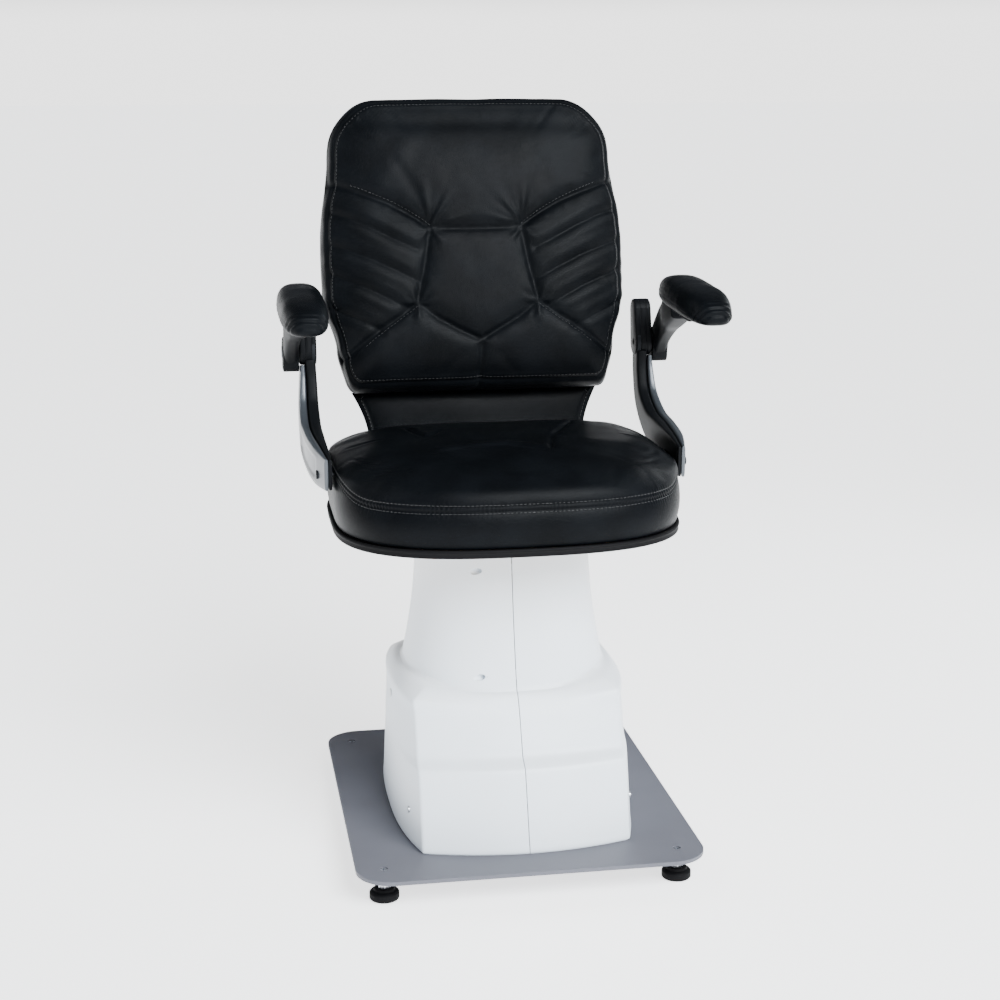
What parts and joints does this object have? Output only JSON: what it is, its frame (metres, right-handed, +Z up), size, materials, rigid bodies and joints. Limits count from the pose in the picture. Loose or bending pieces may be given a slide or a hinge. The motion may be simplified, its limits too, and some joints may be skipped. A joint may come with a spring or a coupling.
{
  "type": "ophthalmic examination chair",
  "caption": "Examination chair with a fixed padded back, flip-up armrests, a swivelling seat and an electric lift column in a moulded cover on a levelled base plate.",
  "frame": {"origin": "on the floor under the swivel axis of the seat", "axes": "+Z up along the lift and swivel axis, -Y to the front of the seat, +X to the left armrest's opposite side, which is the viewer's right from the front"},
  "size_m": [0.672, 0.6985, 1.1301],
  "materials": {
    "plate_paint": "fine grey powder coat",
    "zinc": "bright zinc plate",
    "foot_rubber": "matt black",
    "cover_white": "fine satin moulding, cool off-white",
    "column_black": "semi-matt black paint",
    "column_bright": "ground steel",
    "actuator_alloy": "dark cast alloy",
    "electric_black": "black moulding",
    "bush_white": "natural acetal",
    "bracket_steel": "grey paint",
    "board_wood": "plywood",
    "back_shell": "black moulded shell",
    "rim_black": "black edge trim",
    "leather": "black grained leather",
    "arm_nylon": "black nylon",
    "arm_silver": "silver satin paint",
    "dark_steel": "black oxide"
  },
  "bodies": {
    "base": {"base_plate": "plate_paint", "foot_nuts": "zinc", "cover_left": "cover_white", "cover_right": "cover_white", "cover_seam_screws": "zinc", "cover_side_screws": "zinc", "cover_plugs": "cover_white", "cover_brackets": "bracket_steel", "guide_tube": "column_black", "guide_bolts": "zinc", "guide_nuts": "zinc", "glide_upper": "bush_white", "actuator_clevis": "bracket_steel", "clevis_pin": "zinc", "actuator_housing": "actuator_alloy", "control_box": "electric_black", "power_inlet": "electric_black"},
    "foot_front_left": {"foot_stud_fl": "zinc", "foot_pad_fl": "foot_rubber"},
    "foot_front_right": {"foot_stud_fr": "zinc", "foot_pad_fr": "foot_rubber"},
    "foot_rear_left": {"foot_stud_rl": "zinc", "foot_pad_rl": "foot_rubber"},
    "foot_rear_right": {"foot_stud_rr": "zinc", "foot_pad_rr": "foot_rubber"},
    "lift": {"lift_tube": "column_bright", "glide_lower": "bush_white", "actuator_rod": "column_bright", "lift_flange": "bracket_steel", "lift_sleeve": "cover_white", "swivel_spindle": "column_bright", "spindle_clip": "dark_steel", "thrust_ring": "bush_white"},
    "seat": {"swivel_plate": "column_black", "seat_bolts": "dark_steel", "seat_board": "board_wood", "seat_rim": "rim_black", "seat_cushion": "leather", "back_bars": "column_black", "back_bolts": "dark_steel", "back_board": "back_shell", "back_cushion": "leather", "lumbar_panel": "leather", "arm_tabs": "column_black", "arm_bolts": "dark_steel", "arm_caps": "arm_silver", "arm_frame_left": "arm_nylon", "arm_frame_right": "arm_nylon", "arm_shell_left": "arm_silver", "arm_shell_right": "arm_silver", "arm_pin_left": "dark_steel", "arm_pin_right": "dark_steel"},
    "armrest_left": {"arm_link_left": "arm_nylon", "arm_base_left": "arm_nylon", "arm_pad_left": "leather", "arm_screws_left": "dark_steel"},
    "armrest_right": {"arm_link_right": "arm_nylon", "arm_base_right": "arm_nylon", "arm_pad_right": "leather", "arm_screws_right": "dark_steel"}
  },
  "joints": [
    {"name": "column_lift", "type": "slide", "parent": "base", "child": "lift", "axis": [0, 0, 1], "range_m": [0, 0.2]},
    {"name": "seat_swivel", "type": "hinge", "parent": "lift", "child": "seat", "pos_m": [0, 0, 0.4911], "axis": [0, 0, 1], "continuous": true},
    {"name": "armrest_left_flip", "type": "hinge", "parent": "seat", "child": "armrest_left", "pos_m": [-0.3, 0.238, 0.733], "axis": [-1, 0, 0], "range_deg": [0, 90]},
    {"name": "armrest_right_flip", "type": "hinge", "parent": "seat", "child": "armrest_right", "pos_m": [0.3, 0.238, 0.733], "axis": [-1, 0, 0], "range_deg": [0, 90]},
    {"name": "foot_front_left_level", "type": "slide", "parent": "base", "child": "foot_front_left", "axis": [0, 0, -1], "range_m": [0, 0.012]},
    {"name": "foot_front_right_level", "type": "slide", "parent": "base", "child": "foot_front_right", "axis": [0, 0, -1], "range_m": [0, 0.012]},
    {"name": "foot_rear_left_level", "type": "slide", "parent": "base", "child": "foot_rear_left", "axis": [0, 0, -1], "range_m": [0, 0.012]},
    {"name": "foot_rear_right_level", "type": "slide", "parent": "base", "child": "foot_rear_right", "axis": [0, 0, -1], "range_m": [0, 0.012]}
  ]
}
